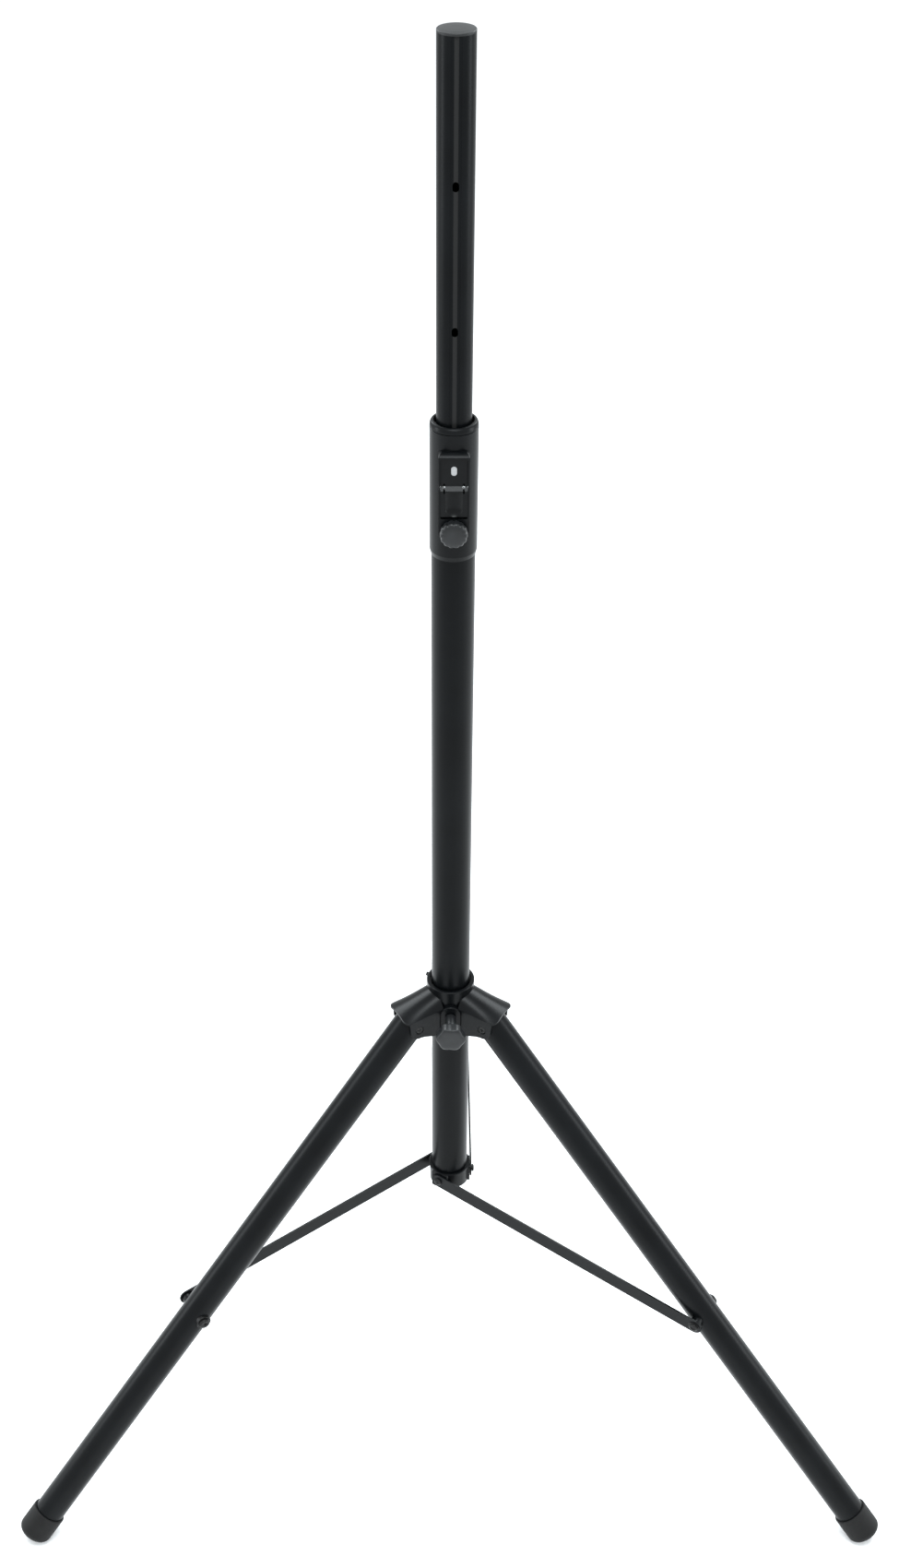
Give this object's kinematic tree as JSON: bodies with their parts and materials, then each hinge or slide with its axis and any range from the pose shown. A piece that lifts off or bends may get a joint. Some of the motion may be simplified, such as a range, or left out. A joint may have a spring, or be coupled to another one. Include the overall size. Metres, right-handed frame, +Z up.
{
  "type": "speaker tripod stand",
  "caption": "Folding tripod stand with a telescoping round pole, pin and screw clamp collar, sliding leg hub, flat braces and rubber feet, for holding a loudspeaker.",
  "frame": {"origin": "on the floor under the pole, where the pole's axis meets the plane that the three feet stand on", "axes": "+Z up along the pole; -Y is the side of the clamp lever and both knobs; +X to the right of someone facing them"},
  "size_m": [1.0934, 0.9526, 1.75],
  "materials": {
    "pole_paint": "satin",
    "leg_paint": "satin",
    "cast_paint": "satin",
    "cap_plastic": "matte",
    "knob_plastic": "satin",
    "lever_plastic": "satin",
    "bush_plastic": "matte",
    "foot_rubber": "matte",
    "black_screw": "blackened",
    "zinc": "zinc plated",
    "brass": "machined"
  },
  "bodies": {
    "outer_column": {"outer_tube": "pole_paint", "guide_bush": "bush_plastic", "clamp_collar": "cast_paint", "collar_cap": "cast_paint", "lever_spring": "black_screw", "lever_pivot_pin": "zinc", "lower_bracket": "cast_paint", "column_end_plug": "cap_plastic", "bracket_screw_right": "black_screw", "bracket_screw_left": "black_screw", "bracket_screw_rear": "black_screw"},
    "inner_pole": {"inner_tube": "pole_paint", "pole_cap": "cap_plastic", "pole_foot_bush": "bush_plastic"},
    "lock_lever_body": {"lock_lever": "lever_plastic", "lock_pin": "zinc"},
    "clamp_shoe_body": {"clamp_shoe": "brass"},
    "clamp_knob_body": {"clamp_knob": "knob_plastic", "clamp_stud": "zinc"},
    "hub": {"hub_casting": "cast_paint", "hub_bush": "bush_plastic", "hub_top_ring": "bush_plastic", "hub_set_screw": "black_screw", "leg_pivot_pin_right": "zinc", "leg_pivot_pin_left": "zinc", "leg_pivot_pin_rear": "zinc", "leg_pivot_screws_right": "black_screw", "leg_pivot_screws_left": "black_screw", "leg_pivot_screws_rear": "black_screw"},
    "hub_shoe_body": {"hub_shoe": "brass"},
    "hub_knob_body": {"hub_knob": "knob_plastic", "hub_stud": "black_screw"},
    "leg_right": {"leg_tube_right": "leg_paint", "leg_plug_right": "cap_plastic", "foot_cap_right": "foot_rubber", "brace_spacer_right": "cast_paint", "brace_bolt_right": "black_screw"},
    "brace_right": {"brace_bar_right": "leg_paint", "brace_screw_right": "black_screw"},
    "leg_left": {"leg_tube_left": "leg_paint", "leg_plug_left": "cap_plastic", "foot_cap_left": "foot_rubber", "brace_spacer_left": "cast_paint", "brace_bolt_left": "black_screw"},
    "brace_left": {"brace_bar_left": "leg_paint", "brace_screw_left": "black_screw"},
    "leg_rear": {"leg_tube_rear": "leg_paint", "leg_plug_rear": "cap_plastic", "foot_cap_rear": "foot_rubber", "brace_spacer_rear": "cast_paint", "brace_bolt_rear": "black_screw"},
    "brace_rear": {"brace_bar_rear": "leg_paint", "brace_screw_rear": "black_screw"}
  },
  "joints": [
    {"name": "pole_slide", "type": "slide", "parent": "outer_column", "child": "inner_pole", "axis": [0, 0, 1], "range_m": [-0.322, 0.35]},
    {"name": "lever_swing", "type": "hinge", "parent": "outer_column", "child": "lock_lever_body", "pos_m": [0, -0.027, 1.335], "axis": [1, 0, 0], "range_deg": [0, 6], "stiffness_Nm_per_rad": 1.5, "springref_deg": -11.46},
    {"name": "clamp_screw_travel", "type": "slide", "parent": "outer_column", "child": "clamp_shoe_body", "axis": [0, -1, 0], "range_m": [0, 0.0025]},
    {"name": "clamp_knob_turn", "type": "hinge", "parent": "clamp_shoe_body", "child": "clamp_knob_body", "pos_m": [0, -0.038, 1.2893], "axis": [0, -1, 0], "range_deg": [0, 722]},
    {"name": "hub_slide", "type": "slide", "parent": "outer_column", "child": "hub", "axis": [0, 0, 1], "range_m": [0, 0.539]},
    {"name": "hub_screw_travel", "type": "slide", "parent": "hub", "child": "hub_shoe_body", "axis": [0, -1, 0], "range_m": [0, 0.0025]},
    {"name": "hub_knob_turn", "type": "hinge", "parent": "hub_shoe_body", "child": "hub_knob_body", "pos_m": [0, -0.055, 0.649], "axis": [0, -1, 0], "range_deg": [0, 722]},
    {"name": "leg_swing_right", "type": "hinge", "parent": "hub", "child": "leg_right", "pos_m": [0.04677, -0.027, 0.6393], "axis": [-0.5, -0.866, 0], "range_deg": [-37.75, 0]},
    {"name": "brace_swing_right", "type": "hinge", "parent": "outer_column", "child": "brace_right", "pos_m": [-0.01362, -0.0236, 0.3591], "axis": [-0.5, -0.866, 0], "range_deg": [0, 86.72]},
    {"name": "leg_swing_left", "type": "hinge", "parent": "hub", "child": "leg_left", "pos_m": [-0.04677, -0.027, 0.6393], "axis": [-0.5, 0.866, 0], "range_deg": [-37.75, 0]},
    {"name": "brace_swing_left", "type": "hinge", "parent": "outer_column", "child": "brace_left", "pos_m": [-0.01362, 0.0236, 0.3591], "axis": [-0.5, 0.866, 0], "range_deg": [0, 86.72]},
    {"name": "leg_swing_rear", "type": "hinge", "parent": "hub", "child": "leg_rear", "pos_m": [0, 0.054, 0.6393], "axis": [1, 0, 0], "range_deg": [-37.75, 0]},
    {"name": "brace_swing_rear", "type": "hinge", "parent": "outer_column", "child": "brace_rear", "pos_m": [0.02725, 0, 0.3591], "axis": [1, 0, 0], "range_deg": [0, 86.72]}
  ],
  "couplings": [
    {"joint": "clamp_knob_turn", "follows": "clamp_screw_travel", "rad_per_m": 5026.5},
    {"joint": "hub_knob_turn", "follows": "hub_screw_travel", "rad_per_m": 5026.5},
    {"joint": "leg_swing_right", "follows": "hub_slide", "rad_per_m": -1.2208},
    {"joint": "brace_swing_right", "follows": "hub_slide", "rad_per_m": 2.8065},
    {"joint": "leg_swing_left", "follows": "hub_slide", "rad_per_m": -1.2208},
    {"joint": "brace_swing_left", "follows": "hub_slide", "rad_per_m": 2.8065},
    {"joint": "leg_swing_rear", "follows": "hub_slide", "rad_per_m": -1.2208},
    {"joint": "brace_swing_rear", "follows": "hub_slide", "rad_per_m": 2.8065}
  ]
}
